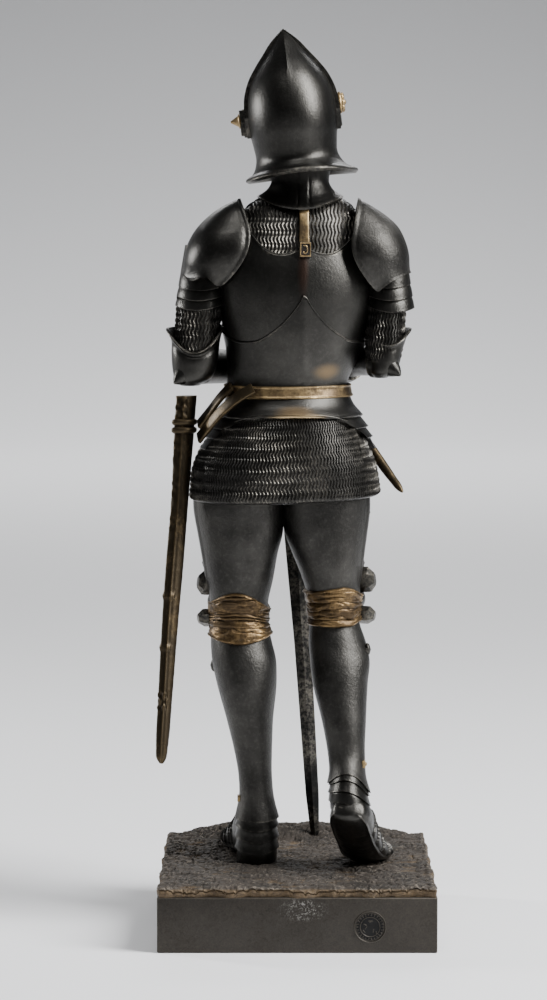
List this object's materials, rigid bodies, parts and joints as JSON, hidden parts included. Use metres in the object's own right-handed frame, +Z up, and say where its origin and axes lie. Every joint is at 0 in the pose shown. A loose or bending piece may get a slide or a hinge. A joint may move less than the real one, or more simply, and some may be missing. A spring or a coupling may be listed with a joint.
{
  "type": "knight statuette",
  "caption": "Bronze statuette of a standing knight in plate and mail with sword, scabbard and dagger, on a rocky rectangular plinth.",
  "frame": {"origin": "middle of the plinth's underside", "axes": "+Z up; the figure faces -Y and its own left hand is on the +X side"},
  "size_m": [0.1911, 0.1787, 0.6217],
  "materials": {
    "earth_bronze": "cast bronze plinth with dark patina and a rocky ground rubbed to dull brown",
    "dark_bronze": "cast bronze with a grainy brown-black patina, rubbed bright on edges, gilt on belt and knee cloths",
    "sword_bronze": "cast bronze with smooth dark patina",
    "gilt_bronze": "worn gilt bronze over brown patina",
    "dagger_bronze": "brown bronze with worn gilding"
  },
  "bodies": {
    "root": {"base": "earth_bronze", "knight": "dark_bronze", "sword": "sword_bronze", "scabbard": "gilt_bronze", "dagger": "dagger_bronze"}
  },
  "joints": []
}
